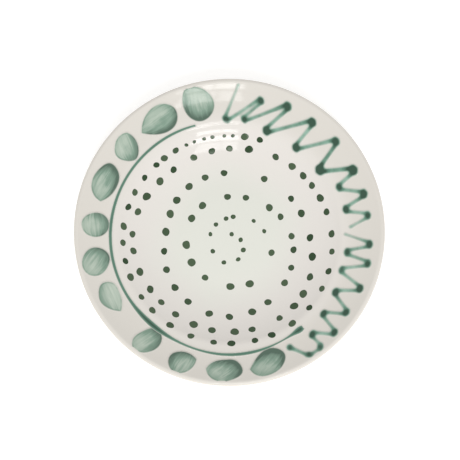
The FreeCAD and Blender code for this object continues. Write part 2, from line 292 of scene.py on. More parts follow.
def glaze_colour(tree, place):
    """Warm white glaze, thinner at the lip, with a greener floor and pinker walls as painted
    reflection and a darker rim as painted shade.
    """
    form, glaze = settings()[:2]
    cloud_size, cloud_push = 55 * MM, 40 * MM
    thin_edge, thinnest = 1.8 * MM, 0.45
    flat = add(tree, "ShaderNodeVectorMath", links={0: place}, operation="MULTIPLY")
    flat.inputs[1].default_value = (1, 1, 0)
    radius = add(tree, "ShaderNodeVectorMath", links={0: flat.outputs[0]}, operation="LENGTH")
    radius = radius.outputs["Value"]
    shoulder = CAD_HIGH.x - form.rim_width
    # The cloud is one half on average, so the wall's tone sets in half a push further out.
    cloud = noise(tree, place, cloud_size, detail=3.0)
    strayed = calculate(tree, "MULTIPLY_ADD", cloud, cloud_push, radius)
    # Painted reflection: greener glaze on the floor, pinker on the walls.
    wall_reflection_mask = remap(tree, strayed, 0.35 * shoulder + cloud_push / 2,
                    0.85 * shoulder + cloud_push / 2)
    well_painted_reflection = blend_colour(tree, wall_reflection_mask, tuple(glaze.floor_colour), tuple(glaze.wall_colour))
    # Painted shade: the rim darkened as if its slope turned it from the light.
    rim_painted_shade_mask = remap(tree, radius, shoulder - 8 * MM, shoulder + 14 * MM)
    body = blend_colour(tree, rim_painted_shade_mask, well_painted_reflection, tuple(glaze.rim_colour))
    at_lip = remap(tree, radius, CAD_HIGH.x - thin_edge, CAD_HIGH.x, 0.0, thinnest)
    return blend_colour(tree, at_lip, body, tuple(glaze.edge_colour))


def glaze_bump(tree, place):
    """Long lazy waves of melted glaze with a faint orange peel on them, as a normal."""
    wave_size, wave_depth = 24 * MM, 0.07 * MM
    peel_size, peel_depth = 1.6 * MM, 0.0022 * MM
    waves = noise(tree, place, wave_size, detail=1.0)
    peel = noise(tree, place, peel_size, detail=1.0)
    long_bump = add(tree, "ShaderNodeBump", links={"Height": waves},
                    values={"Strength": 1.0, "Distance": wave_depth})
    fine_bump = add(tree, "ShaderNodeBump", links={"Height": peel, "Normal": long_bump.outputs[0]},
                    values={"Strength": 1.0, "Distance": peel_depth})
    return fine_bump.outputs["Normal"]


def glossy_surface(tree, base, normal, roughness):
    """The shader of a fired gloss glaze: IOR of a soda-lime glass, very smooth."""
    shader = add(tree, "ShaderNodeBsdfPrincipled", links={"Base Color": base, "Normal": normal},
                 values={"IOR": 1.5, "Roughness": roughness})
    add(tree, "ShaderNodeOutputMaterial", links={"Surface": shader.outputs["BSDF"]})


def fired_white_glaze():
    """Tin-white earthenware glaze, dipped and fired to a gloss.

    To the eye: a warm, even white with sharp window reflections that ripple a little; its cooler
    floor is painted reflection and its darker rim painted shade.
    """
    material, tree = new_material("fired_white_glaze")
    place = object_place(tree)
    glossy_surface(tree, glaze_colour(tree, place), glaze_bump(tree, place), GLAZE_ROUGHNESS)
    return material


def bare_fired_clay():
    """Buff earthenware clay, wiped clean of glaze with a sponge and fired bare.

    To the eye: a matt, sandy ring with fine dark grains and the sponge's wet swirls.
    """
    glaze = settings()[1]
    grain_size, grain_strength = 0.7 * MM, 0.55
    swirl_size, swirl_shade = 9 * MM, 0.86
    grit_size, grit_depth = 0.5 * MM, 0.09 * MM
    material, tree = new_material("bare_fired_clay")
    place = object_place(tree)
    grains = remap(tree, noise(tree, place, grain_size, detail=3.0, roughness=0.7), 0.60, 0.72)
    swirls = noise(tree, place, swirl_size, detail=4.0, roughness=0.65)
    wet = tuple(swirl_shade * c for c in glaze.clay_colour[:3]) + (1,)
    toned = ramp(tree, swirls, ((0.3, wet), (0.7, tuple(glaze.clay_colour))))
    base = blend_colour(tree, calculate(tree, "MULTIPLY", grains, grain_strength), toned,
                        tuple(glaze.clay_speck))
    grit = noise(tree, place, grit_size, detail=4.0, roughness=0.7)
    bump = add(tree, "ShaderNodeBump", links={"Height": grit},
               values={"Strength": 0.8, "Distance": grit_depth})
    shader = add(tree, "ShaderNodeBsdfPrincipled",
                 links={"Base Color": base, "Normal": bump.outputs["Normal"]},
                 values={"IOR": 1.45, "Roughness": 0.86})
    add(tree, "ShaderNodeOutputMaterial", links={"Surface": shader.outputs["BSDF"]})
    return material


def fired_colour(name, density, stops, cover):
    """A pigment melted into the glaze.

    density builds how much pigment lies at a point, from the tree and the object coordinates.
    stops gives the colour for little to much pigment. cover is the depth range, in metres from
    the mark's edge, over which the colour fades out into plain glaze.
    """
    material, tree = new_material(name)
    place = object_place(tree)
    pigment = ramp(tree, density(tree, place), stops)
    covered = remap(tree, attribute(tree, "depth"), *cover)
    base = blend_colour(tree, covered, glaze_colour(tree, place), pigment)
    glossy_surface(tree, base, glaze_bump(tree, place), PAINT_ROUGHNESS)
    return material


def dot_density(tree, place):
    """Dots are dense all over and differ by how full the brush was; painted shade darkens the outer
    turns.
    """
    mottle_size, mottle_strength = 1.5 * MM, 0.12
    rim_strength = 0.16
    load = attribute(tree, "load")
    mottle = noise(tree, place, mottle_size)
    rim = remap(tree, attribute(tree, "depth"), 0.1 * MM, 0.9 * MM, rim_strength, 0.0)
    mottled = calculate(tree, "MULTIPLY_ADD", mottle, mottle_strength, load)
    return calculate(tree, "ADD", mottled, rim, clamp=True)


def dense_dot_colour():
    """Copper and iron green painted thick, in round dabs of a loaded brush.

    To the eye: flat, opaque bottle green with a crisp edge, some dots nearly black-green; the outer
    turns darkest, as painted shade.
    """
    paint = settings()[2]
    return fired_colour("dense_dot_colour", dot_density,
                        ((0.15, tuple(paint.dot_colour)), (0.9, tuple(paint.dot_dark))),
                        (-0.25 * MM, 0.12 * MM))


def brush_streaks(tree, across, along):
    """Streaks left by the brush's hairs: fine across the stroke, long along it."""
    uv = add(tree, "ShaderNodeUVMap", uv_map="brush").outputs["UV"]
    mapped = add(tree, "ShaderNodeMapping", links={"Vector": uv}, vector_type="POINT",
                 values={"Scale": (1 / along, 1 / across, 1.0)})
    streak = add(tree, "ShaderNodeTexNoise", links={"Vector": mapped.outputs["Vector"]},
                 values={"Scale": 1.0, "Detail": 3.0, "Roughness": 0.6, "Distortion": 0.6})
    return calculate(tree, "SUBTRACT", streak.outputs["Fac"], 0.5)


def petal_density(tree, place):
    """Streaked, pale in the hollow of the dab, darkest on the pressed side, with a tide line."""
    depth = attribute(tree, "depth")
    cloud = centred_noise(tree, place, 7 * MM, detail=3.0)
    broad = brush_streaks(tree, across=2.8 * MM, along=20 * MM)
    hairs = brush_streaks(tree, across=0.8 * MM, along=26 * MM)
    # The brush leaves most colour on the side that it is pressed down on.
    side = calculate(tree, "MULTIPLY_ADD", cloud, 0.9, attribute(tree, "side"))
    side = calculate(tree, "MULTIPLY_ADD", broad, 1.5, side)
    pressed = remap(tree, side, -0.60, 0.80, 0.36, 1.08)
    # Away from the edge the wash thins to about half.
    strayed = calculate(tree, "MULTIPLY_ADD", cloud, 6 * MM, depth)
    hollow = remap(tree, strayed, 0.5 * MM, 8.0 * MM, 1.0, 0.52)
    total = calculate(tree, "MULTIPLY", pressed, hollow)
    total = calculate(tree, "MULTIPLY", total, attribute(tree, "load"))
    # As it dries, pigment gathers in a broken line along the edge.
    tide = remap(tree, depth, 0.4 * MM, 1.9 * MM, 0.26, 0.0)
    broken = remap(tree, noise(tree, place, 9 * MM), 0.36, 0.62)
    total = calculate(tree, "MULTIPLY_ADD", tide, broken, total)
    total = calculate(tree, "MULTIPLY_ADD", broad, 0.16, total)
    return calculate(tree, "MULTIPLY_ADD", hairs, 0.20, total, clamp=True)


def washed_petal_colour():
    """Green oxide thinned with water, laid in one fat dab of a wide brush.

    To the eye: grey-green like watercolour, streaked along the stroke, with a darker tide line
    round the edge and a soft dark side.
    """
    paint = settings()[2]
    return fired_colour("washed_petal_colour", petal_density,
                        ((0.05, tuple(paint.petal_light)), (0.45, tuple(paint.petal_middle)),
                         (0.92, tuple(paint.petal_dark))), (-0.6 * MM, 0.9 * MM))


def stroke_density(tree, place):
    """Even along a leg, and dark where the stroke is wide, which is where the brush turned."""
    plain_leg, full_pool = 0.30, 0.76
    core = remap(tree, attribute(tree, "depth"), -0.6 * MM, 2.1 * MM)
    pool = remap(tree, attribute(tree, "width"), 0.75 * MM, 2.1 * MM, 0.0, full_pool)
    cloud = centred_noise(tree, place, 12 * MM, detail=3.0)
    mottle = centred_noise(tree, place, 2.2 * MM)
    leg = calculate(tree, "MULTIPLY_ADD", cloud, 0.8, plain_leg)
    total = calculate(tree, "MULTIPLY_ADD", pool, core, leg)
    return calculate(tree, "MULTIPLY_ADD", mottle, 0.16, total, clamp=True)


def wet_zigzag_colour():
    """Copper green trailed wet from a small round brush, which ran a little in the fire.

    To the eye: translucent teal legs with soft, blurred edges and dark pools at the turns.
    """
    paint = settings()[2]
    return fired_colour("wet_zigzag_colour", stroke_density,
                        ((0.0, tuple(paint.stroke_light)), (0.45, tuple(paint.stroke_middle)),
                         (0.9, tuple(paint.stroke_dark))), (-1.1 * MM, 0.95 * MM))


def line_density(tree, place):
    """Even, and darker where the line swells."""
    plain_line, full_swell = 0.16, 0.9
    pool = remap(tree, attribute(tree, "depth"), 0.6 * MM, 2.1 * MM, plain_line, full_swell)
    uneven = centred_noise(tree, place, 26 * MM, detail=3.0)
    return calculate(tree, "MULTIPLY_ADD", uneven, 0.5, pool, clamp=True)


def thin_line_colour():
    """The petals' green, drawn with the tip of a liner brush while the plate turned.

    To the eye: one quiet grey-green line that swells and darkens where the hand pressed.
    """
    paint = settings()[2]
    return fired_colour("thin_line_colour", line_density,
                        ((0.0, tuple(paint.line_colour)), (0.9, tuple(paint.line_dark))),
                        (-0.55 * MM, 0.55 * MM))


# ---------------------------------------------------------------- modelling helpers

def only(thing):
    """Makes one object the only selected and the active one."""
    bpy.ops.object.select_all(action="DESELECT")
    thing.select_set(True)
    bpy.context.view_layer.objects.active = thing


def coordinates(thing):
    """The vertices of a mesh object as rows of x, y, z."""
    flat = np.zeros(len(thing.data.vertices) * 3)
    thing.data.vertices.foreach_get("co", flat)
    return flat.reshape(-1, 3)


def put_coordinates(thing, rows):
    """Moves the vertices of a mesh object."""
    thing.data.vertices.foreach_set("co", np.asarray(rows, float).ravel())
    thing.data.update()


def select_points(thing, chosen):
    """Selects the chosen vertices and nothing else, ready for edit mode."""
    thing.data.polygons.foreach_set("select", np.zeros(len(thing.data.polygons), bool))
    thing.data.edges.foreach_set("select", np.zeros(len(thing.data.edges), bool))
    thing.data.vertices.foreach_set("select", np.asarray(chosen, bool))


def keep_number(thing, name, values):
    """Keeps one number for each vertex, for the materials to read."""
    layer = thing.data.attributes.new(name, "FLOAT", "POINT")
    layer.data.foreach_set("value", np.asarray(values, np.float32))


def use_modifier(thing, kind, **options):
    """Adds a modifier and applies it."""
    modifier = thing.modifiers.new(kind.lower(), kind)
    for name, value in options.items():
        setattr(modifier, name, value)
    only(thing)
    bpy.ops.object.modifier_apply(modifier=modifier.name)


def place_piece(thing, name, material, slot, *nodes):
    """Names a finished piece, gives it its material and ties it to the frame."""
    thing.name = name
    thing.data.name = name
    thing.data.materials.clear()
    thing.data.materials.append(material)
    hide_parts(*nodes)
    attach(thing, BODY)


def rounded_path(corners, radii, step):
    """Points along straight stretches joined by tangent arcs, no further apart than step."""
    fewest, widest = 3, 6                # facets in an arc, and the degrees that one may turn
    points = [Vector(corners[0])]
    for before, corner, after, radius in zip(corners, corners[1:], corners[2:], radii):
        middle = Vector(corner)
        back = (Vector(before) - middle).normalized()
        ahead = (Vector(after) - middle).normalized()
        half = back.angle(ahead) / 2
        enter = middle + back * (radius / math.tan(half))
        centre = middle + (back + ahead).normalized() * (radius / math.sin(half))
        arm = enter - centre
        sweep = math.pi - 2 * half
        turn = math.copysign(sweep, back.cross(ahead))
        count = max(fewest, math.ceil(sweep * radius / step),
                    math.ceil(math.degrees(sweep) / widest))
        points += spaced(points[-1], enter, step)
        for i in range(1, count + 1):
            angle = -turn * i / count
            spun = Vector((arm.x * math.cos(angle) - arm.y * math.sin(angle),
                           arm.x * math.sin(angle) + arm.y * math.cos(angle)))
            points.append(centre + spun)
    points += spaced(points[-1], Vector(corners[-1]), step)
    return points


def spaced(start, end, step):
    """Points from just after start up to and with end."""
    count = max(1, math.ceil((end - start).length / step))
    return [start.lerp(end, i / count) for i in range(1, count + 1)]


def turn_on_wheel(name, profile):
    """A thin skin turned from a profile: a point is drawn along it, then spun round the axis."""
    form = settings()[0]
    bpy.ops.object.select_all(action="DESELECT")
    bpy.ops.mesh.primitive_plane_add(size=MM, location=(0, 0, 0))
    skin = bpy.context.object
    bpy.ops.object.mode_set(mode="EDIT")
    bpy.ops.mesh.merge(type="CENTER")
    bpy.ops.transform.translate(value=(profile[0].x, 0, profile[0].y))
    for here, there in zip(profile, profile[1:]):
        step = (there.x - here.x, 0, there.y - here.y)
        bpy.ops.mesh.extrude_region_move(TRANSFORM_OT_translate={"value": step})
    bpy.ops.mesh.select_all(action="SELECT")
    bpy.ops.mesh.spin(steps=form.turns, angle=2 * math.pi, center=(0, 0, 0), axis=(0, 0, 1))
    bpy.ops.mesh.select_all(action="SELECT")
    bpy.ops.mesh.remove_doubles(threshold=0.002 * MM)
    bpy.ops.mesh.normals_make_consistent(inside=False)
    bpy.ops.object.mode_set(mode="OBJECT")
    skin.name = name
    return skin


# ---------------------------------------------------------------- the turned form

class Profile:
    """The glazed outline of the plate, worked out from the form's sizes."""

    def __init__(self):
        form, glaze = settings()[:2]
        self.form, self.glaze = form, glaze
        self.radius = min(CAD_HIGH.x, CAD_HIGH.y, -CAD_LOW.x, -CAD_LOW.y)
        self.shoulder = self.radius - form.rim_width
        self.floor = form.foot_height + form.wall
        self.lip_round = form.wall / 2
        self.lip_centre = Vector((self.radius - self.lip_round, CAD_HIGH.z - self.lip_round))
        self.bend = (self.shoulder + self.lip_centre.x) / 2
        lip = self.lip_point(0)
        self.bend_height = lip.y - (lip.x - self.bend) * math.tan(form.lip_slope)
        drop = (self.bend - self.shoulder) * math.tan(form.rim_slope)
        self.shoulder_height = self.bend_height - drop
        rise = self.shoulder_height - self.floor
        self.wall_slope = math.atan2(rise, form.wall_run)
        shoulder_tangent = form.shoulder_round * math.tan((self.wall_slope - form.rim_slope) / 2)
        well_tangent = math.hypot(form.wall_run, rise) - shoulder_tangent - form.straight_left
        self.well_round = well_tangent / math.tan(self.wall_slope / 2)
        self.well_start = self.shoulder - form.wall_run - well_tangent
        inner = (self.bend - self.shoulder) / math.cos(form.rim_slope) - shoulder_tangent
        outer = (lip.x - self.bend) / math.cos(form.lip_slope)
        bend_tangent = min(inner, outer) - form.straight_left
        self.bend_round = bend_tangent / math.tan((form.lip_slope - form.rim_slope) / 2)

    def lip_point(self, depth):
        """Where the rim's outer stretch meets the lip, at a depth below the glazed face."""
        slope = self.form.lip_slope
        out = self.lip_round - depth
        return self.lip_centre + Vector((-math.sin(slope), math.cos(slope))) * out

    def skin(self, depth, from_radius=0.0):
        """Points from the axis to the lip at a depth below the glazed face."""
        slopes = (0.0, self.wall_slope, self.form.rim_slope, self.form.lip_slope)
        shoulder = Vector((self.shoulder, self.shoulder_height))
        anchors = (Vector((0, self.floor)), shoulder, shoulder, self.lip_point(0))
        lines = [(anchor + Vector((math.sin(s), -math.cos(s))) * depth, s)
                 for anchor, s in zip(anchors, slopes)]
        corners = [Vector((0, self.floor - depth))]
        for (a, slope_a), (b, slope_b) in zip(lines, lines[1:]):
            along = ((b.x - a.x) * math.sin(slope_b) - (b.y - a.y) * math.cos(slope_b))
            along /= math.sin(slope_b - slope_a)
            corners.append(a + Vector((math.cos(slope_a), math.sin(slope_a))) * along)
        corners.append(self.lip_point(depth))
        radii = (self.well_round + depth, self.form.shoulder_round - depth,
                 self.bend_round + depth)
        path = rounded_path(corners, radii, self.form.profile_step)
        return [point for point in path if point.x >= from_radius]

    def lip(self):
        """Points round the rolled lip, from the rim's face to the underside."""
        start = self.form.lip_slope + math.pi / 2
        count = 22                           # facets round the half turn
        angles = [start - math.pi * i / count for i in range(1, count)]
        return [self.lip_centre + Vector((math.cos(a), math.sin(a))) * self.lip_round
                for a in angles]

    def outside(self):
        """The whole glazed outside: floor, rim, lip, underside and down the foot."""
        form = self.form
        under_round = self.well_round + form.wall
        lean = Vector((-form.foot_lean, form.foot_height))
        base = Vector((form.foot_radius, 0))
        past = form.foot_radius - self.well_start
        root_height = form.foot_height + under_round - math.sqrt(under_round ** 2 - past ** 2)
        root = base + lean * (root_height / lean.y)
        slope = math.asin(past / under_round)
        far = root + Vector((math.cos(slope), math.sin(slope))) * (3 * form.foot_root)
        line = base + lean * (self.glaze.line / lean.y)
        foot = rounded_path([far, root, line], [form.foot_root], form.profile_step / 3)
        # The underside stops a little outside the hollow curve, and the foot goes on from there.
        foot = [point for point in foot if point.x < form.foot_radius + form.foot_root]
        underside = self.skin(form.wall, form.foot_radius + 1.35 * form.foot_root)
        return self.skin(0) + self.lip() + underside[::-1] + foot

    def recess(self):
        """The glaze inside the foot ring, from the axis out and down to the wiped edge."""
        form = self.form
        inside = form.foot_radius - form.foot_width
        lean = form.foot_lean / form.foot_height
        corners = [Vector((0, form.foot_height)),
                   Vector((inside - lean * form.foot_height, form.foot_height)),
                   Vector((inside - lean * self.glaze.line, self.glaze.line))]
        return rounded_path(corners, [form.recess_round], form.profile_step / 2)


def wheel_waves():
    """Soft unevenness left by the potter's hand: a melted-noise height, always downwards."""
    texture = bpy.data.textures.new("wheel_waves", "CLOUDS")
    texture.noise_scale = settings()[1].wave_size
    texture.noise_depth = 0
    return texture


def glaze_piece(name, profile, node):
    """A skin of glaze with its real thickness, turned, waved a little and closed."""
    glaze = settings()[1]
    skin = turn_on_wheel(name, profile)
    use_modifier(skin, "SOLIDIFY", thickness=glaze.thickness, offset=-1.0,
                 use_even_offset=True)
    use_modifier(skin, "DISPLACE", texture=bpy.data.textures.get("wheel_waves") or wheel_waves(),
                 strength=glaze.wave_height, mid_level=1.0, direction="Z",
                 texture_coords="LOCAL")
    only(skin)
    bpy.ops.object.shade_smooth()
    place_piece(skin, name, material_named(fired_white_glaze), "clear_glaze", node)


def material_named(maker):
    """A material made once and shared."""
    return bpy.data.materials.get(maker.__name__) or maker()


class PLATE_OT_glaze(bpy.types.Operator):
    """Turn the glaze coat and the glaze inside the foot ring"""
    bl_idname = "plate.glaze"
    bl_label = "Glaze"

    def execute(self, context):
        profile = Profile()
        glaze_piece("glaze", profile.outside(), "glaze_coat")
        glaze_piece("foot_recess", profile.recess(), "recess_glaze")
        return {"FINISHED"}


class PLATE_OT_clay(bpy.types.Operator):
    """Give the clay body the look of bare fired clay"""
    bl_idname = "plate.clay"
    bl_label = "Clay"

    def execute(self, context):
        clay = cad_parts["clay_body"]
        if not clay.material_slots:
            raise RuntimeError("clay_body has no place for a material")
        for slot in clay.material_slots:
            slot.material = material_named(bare_fired_clay)
        return {"FINISHED"}


# ---------------------------------------------------------------- soft brush marks

class Mark:
    """A painted CAD node, asked how far inside its edge a point lies."""

    def __init__(self, node):
        upright = 0.2                        # the most that an upright face's normal may rise
        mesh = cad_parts[node].data
        points = [vertex.co.copy() for vertex in mesh.vertices]
        faces = [tuple(face.vertices) for face in mesh.polygons]
        sides = [tuple(face.vertices) for face in mesh.polygons if abs(face.normal.z) < upright]
        self.low, self.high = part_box(node)
        self.whole = BVHTree.FromPolygons(points, faces)
        self.side = BVHTree.FromPolygons(points, sides)

    def depth(self, point):
        """Metres inside the edge, or negative outside it."""
        reach = self.side.find_nearest(point)[3]
        above = Vector((point.x, point.y, self.high.z + 1.0))
        inside = self.whole.ray_cast(above, -UP)[0] is not None
        return reach if inside else -reach


def lay_on_glaze(sheet, weights):
    """Lowers a flat sheet on to the glaze and gives it a domed, closed body of colour.

    weights builds the height of the colour at each point, as a share of the full layer.
    """
    paint = settings()[2]
    thinnest = 0.12                          # the share that is left at the very edge
    use_modifier(sheet, "SHRINKWRAP", target=bpy.data.objects["glaze"], wrap_method="PROJECT",
                 use_project_z=True, use_negative_direction=True, use_positive_direction=False)
    group = sheet.vertex_groups.new(name="thickness")
    for index, weight in enumerate(weights(sheet)):
        group.add([index], float(weight), "REPLACE")
    use_modifier(sheet, "SOLIDIFY", thickness=paint.layer, offset=1.0, vertex_group="thickness",
                 thickness_vertex_group=thinnest, use_even_offset=False)
    only(sheet)
    bpy.ops.object.shade_smooth()


def neighbours(rows, chosen, radius):
    """For each chosen row, the indices of the chosen rows that lie within a radius of it."""
    tree = KDTree(len(chosen))
    for index in chosen:
        tree.insert(rows[index], index)
    tree.balance()
    return [[found[1] for found in tree.find_range(rows[index], radius)] for index in chosen]


def rounded_depths(rows, depths, radius):
    """Depths averaged over a small circle, which rounds a stroke's bends as a wet brush does."""
    near = np.flatnonzero(depths > -3 * radius)
    rounded = depths.copy()
    rounded[near] = [depths[indices].mean() for indices in neighbours(rows, near, radius)]
    return rounded


def soft_mark(node, material, slot, extra=None, rounding=0.0):
    """A soft-edged mark: a fine sheet trimmed to the CAD mark plus its bleed, on the glaze.

    extra keeps more numbers on the sheet for the material. rounding is the radius over which the
    outline is smoothed.
    """
    paint = settings()[2]
    full_at, swelling = 1.2 * MM, 0.7        # depth at which the layer is full, and its curve
    mark = Mark(node)
    margin = Vector((1, 1, 0)) * 2 * paint.bleed
    low, high = mark.low - margin, mark.high + margin
    span = high - low
    bpy.ops.object.select_all(action="DESELECT")
    bpy.ops.mesh.primitive_grid_add(x_subdivisions=math.ceil(span.x / paint.cell),
                                    y_subdivisions=math.ceil(span.y / paint.cell), size=1,
                                    location=((low.x + high.x) / 2, (low.y + high.y) / 2,
                                              ABOVE_PLATE), scale=(1, 1, 1))
    sheet = bpy.context.object
    sheet.scale = (span.x, span.y, 1)
    bpy.ops.object.transform_apply(location=True, rotation=False, scale=True)
    rows = coordinates(sheet)
    glaze = bpy.data.objects["glaze"]
    middle = (mark.low.z + mark.high.z) / 2
    depths = np.zeros(len(rows))
    for index, row in enumerate(rows):
        hit, place, _, _ = glaze.ray_cast(Vector(row), -UP)
        depths[index] = mark.depth(Vector((row[0], row[1], place.z if hit else middle)))
    if rounding:
        depths = rounded_depths(rows, depths, rounding)
    select_points(sheet, depths < -paint.bleed)
    bpy.ops.object.mode_set(mode="EDIT")
    bpy.ops.mesh.delete(type="VERT")
    bpy.ops.object.mode_set(mode="OBJECT")
    depths = depths[depths >= -paint.bleed]
    keep_number(sheet, "depth", depths)
    if extra:
        extra(sheet, node, depths)
    lay_on_glaze(sheet, lambda piece: np.clip(depths / full_at, 0, 1) ** swelling)
    place_piece(sheet, node + "_paint", material, slot, node)


def heading(degrees):
    """A direction seen from above."""
    return np.array((math.cos(math.radians(degrees)), math.sin(math.radians(degrees))))


def petal_brushwork(sheet, node, depths):
    """Keeps the pull of the brush, the pressed side and the brush load of one petal."""
    brush = PETAL_BRUSH[node]
    rows = coordinates(sheet)[:, :2]
    rows = rows - (rows.min(0) + rows.max(0)) / 2
    toward = rows @ heading(brush.press)
    keep_number(sheet, "side", toward / np.abs(toward).max())
    keep_number(sheet, "load", np.full(len(rows), brush.load))
    lengthwise = rows @ heading(brush.stroke)
    sideways = rows @ heading(brush.stroke + 90)
    # The streaks draw together towards both ends of the dab, and no two petals share them.
    reach = 1.12 * np.abs(lengthwise).max()
    sideways = sideways / np.sqrt(np.clip(1 - (lengthwise / reach) ** 2, 0.12, 1))
    own_place = 0.1 * (1 + PETALS.index(node))
    streaks = sheet.data.uv_layers.new(name="brush")
    for loop in sheet.data.loops:
        point = loop.vertex_index
        streaks.data[loop.index].uv = (lengthwise[point] + own_place, sideways[point] + own_place)


def stroke_width(sheet, node, depths):
    """Keeps how wide the stroke is round each point: the greatest depth near it, smoothed."""
    across_stroke, along_stroke = 2.2 * MM, 4.0 * MM
    rows = coordinates(sheet)
    everywhere = range(len(rows))
    near = neighbours(rows, everywhere, across_stroke)
    widest = np.array([depths[indices].max() for indices in near])
    around = neighbours(rows, everywhere, along_stroke)
    keep_number(sheet, "width", [widest[indices].mean() for indices in around])


class PLATE_OT_petals(bpy.types.Operator):
    """Paint the petals on the rim"""
    bl_idname = "plate.petals"
    bl_label = "Petals"

    def execute(self, context):
        for node in PETALS:
            soft_mark(node, material_named(washed_petal_colour), "petal_wash", petal_brushwork)
        return {"FINISHED"}


class PLATE_OT_zigzag(bpy.types.Operator):
    """Paint the two zigzag strokes on the rim"""
    bl_idname = "plate.zigzag"
    bl_label = "Zigzag"

    def execute(self, context):
        for node in ZIGZAGS:
            soft_mark(node, material_named(wet_zigzag_colour), "stroke_teal", stroke_width,
                      rounding=settings()[2].rounding)
        return {"FINISHED"}


class PLATE_OT_line(bpy.types.Operator):
    """Paint the thin line that follows the shoulder"""
    bl_idname = "plate.line"
    bl_label = "Line"

    def execute(self, context):
        soft_mark("shoulder_line", material_named(thin_line_colour), "line_green")
        return {"FINISHED"}


# ---------------------------------------------------------------- dots

def one_dot():
    """A flat round dab of unit diameter, with rings to carry its domed edge."""
    bpy.ops.object.select_all(action="DESELECT")
    bpy.ops.mesh.primitive_circle_add(vertices=28, radius=0.5, fill_type="NGON")
    dab = bpy.context.object
    bpy.ops.object.mode_set(mode="EDIT")
    bpy.ops.mesh.select_all(action="SELECT")
    for inset in (0.05, 0.08, 0.14):
        bpy.ops.mesh.inset(thickness=inset)
    bpy.ops.mesh.poke()
    bpy.ops.object.mode_set(mode="OBJECT")
    keep_number(dab, "depth", [0.5 - row[:2].dot(row[:2]) ** 0.5 for row in coordinates(dab)])
    keep_number(dab, "load", np.zeros(len(dab.data.vertices)))
    return dab


def dot_places(node):
    """The middle, bearing, radial half size and sideways half size of every dot in a CAD node."""
    bpy.ops.object.select_all(action="DESELECT")
    copy = bpy.data.objects.new("dot_islands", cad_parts[node].data.copy())
    bpy.context.scene.collection.objects.link(copy)
    only(copy)
    bpy.ops.object.mode_set(mode="EDIT")
    bpy.ops.mesh.select_all(action="SELECT")
    bpy.ops.mesh.remove_doubles(threshold=0.001 * MM)
    bpy.ops.mesh.separate(type="LOOSE")
    bpy.ops.object.mode_set(mode="OBJECT")
    places = []
    for island in list(bpy.context.selected_objects):
        rows = coordinates(island)[:, :2]
        middle = (rows.min(0) + rows.max(0)) / 2
        bearing = math.atan2(middle[1], middle[0])
        outward = np.array((math.cos(bearing), math.sin(bearing)))
        around = np.array((-outward[1], outward[0]))
        half_sizes = [np.ptp(rows @ direction) / 2 for direction in (outward, around)]
        places.append((middle, bearing, *half_sizes))
        bpy.data.objects.remove(island)
    places.sort(key=lambda place: (round(place[0][0], 6), round(place[0][1], 6)))
    return places


# How far a dot's outline strays from round: (waves round the outline, greatest share).
DOT_STRAYS = ((2, 0.05), (3, 0.045), (4, 0.02), (5, 0.012))
DOT_LEAN = 0.35               # radians by which the hand turns the brush from one dot to the next


def dab_dot(pattern, place, chance, load):
    """One dot: a copy of the pattern at its size, its outline a little out of round."""
    middle, bearing, half_out, half_round = place
    dab = bpy.data.objects.new("dab", pattern.data.copy())
    bpy.context.scene.collection.objects.link(dab)
    rows = coordinates(dab)
    angles = np.arctan2(rows[:, 1], rows[:, 0])
    strays = [(waves, chance.uniform(0, 2 * math.pi), chance.uniform(0, share))
              for waves, share in DOT_STRAYS]
    stretch = 1 + sum(share * np.sin(waves * angles + phase) for waves, phase, share in strays)
    rows[:, :2] *= stretch[:, None]
    lean = bearing + chance.uniform(-DOT_LEAN, DOT_LEAN)
    x = rows[:, 0] * 2 * half_out
    y = rows[:, 1] * 2 * half_round
    rows[:, 0] = middle[0] + x * math.cos(lean) - y * math.sin(lean)
    rows[:, 1] = middle[1] + x * math.sin(lean) + y * math.cos(lean)
    rows[:, 2] = ABOVE_PLATE
    put_coordinates(dab, rows)
    depth = dab.data.attributes["depth"]
    for item in depth.data:
        item.value *= 2 * min(half_out, half_round)
    dab.data.attributes["load"].data.foreach_set("value", np.full(len(rows), load))
    return dab


class PLATE_OT_dots(bpy.types.Operator):
    """Paint the spiral of dots, one piece for each turn of the spiral"""
    bl_idname = "plate.dots"
    bl_label = "Dots"

    def execute(self, context):
        chance = random.Random(settings()[2].seed)
        pattern = one_dot()
        for turn, node in enumerate(DOT_TURNS):
            fullest_with_painted_shade = 0.20 + 0.24 * turn     # painted shade: outer turns darker, for the dimmer room that the wall dots mirror
            dabs = [dab_dot(pattern, place, chance, fullest_with_painted_shade * chance.random() ** 1.3)
                    for place in dot_places(node)]
            bpy.ops.object.select_all(action="DESELECT")
            for dab in dabs:
                dab.select_set(True)
            bpy.context.view_layer.objects.active = dabs[0]
            bpy.ops.object.join()
            dots = bpy.context.object
            lay_on_glaze(dots, dome_weights)
            place_piece(dots, node + "_paint", material_named(dense_dot_colour), "dot_green", node)
        bpy.data.objects.remove(pattern)
        return {"FINISHED"}


def dome_weights(piece):
    """How thick the colour stands: thin at the edge of a dot, full a millimetre in."""
    full_at, swelling = 1.0 * MM, 0.6
    depths = np.zeros(len(piece.data.vertices), np.float32)
    piece.data.attributes["depth"].data.foreach_get("value", depths)
    return np.clip(depths / full_at, 0, 1) ** swelling


# ---------------------------------------------------------------- stage

def aim_at(thing, target):
    """Turns a light or a camera towards a point."""
    direction = Vector(target) - thing.location
    thing.rotation_euler = direction.to_track_quat("-Z", "Y").to_euler()


def front_soft_box(power):
    """A broad square light on an arc over the plate's front. It is kept out of the reflections."""
    bearing, elevation = math.radians(-84), math.radians(50)
    distance, side = 2.2, 1.3
    place = Vector((math.cos(bearing) * math.cos(elevation),
                    math.sin(bearing) * math.cos(elevation), math.sin(elevation)))
    bpy.ops.object.light_add(type="AREA", location=place * distance)
    box = bpy.context.object
    box.name = "front_soft_box"
    box.data.shape = "RECTANGLE"
    box.data.size, box.data.size_y = side, side
    box.data.energy = power
    box.visible_camera = False
    box.visible_glossy = False
    aim_at(box, (0, 0, 20 * MM))


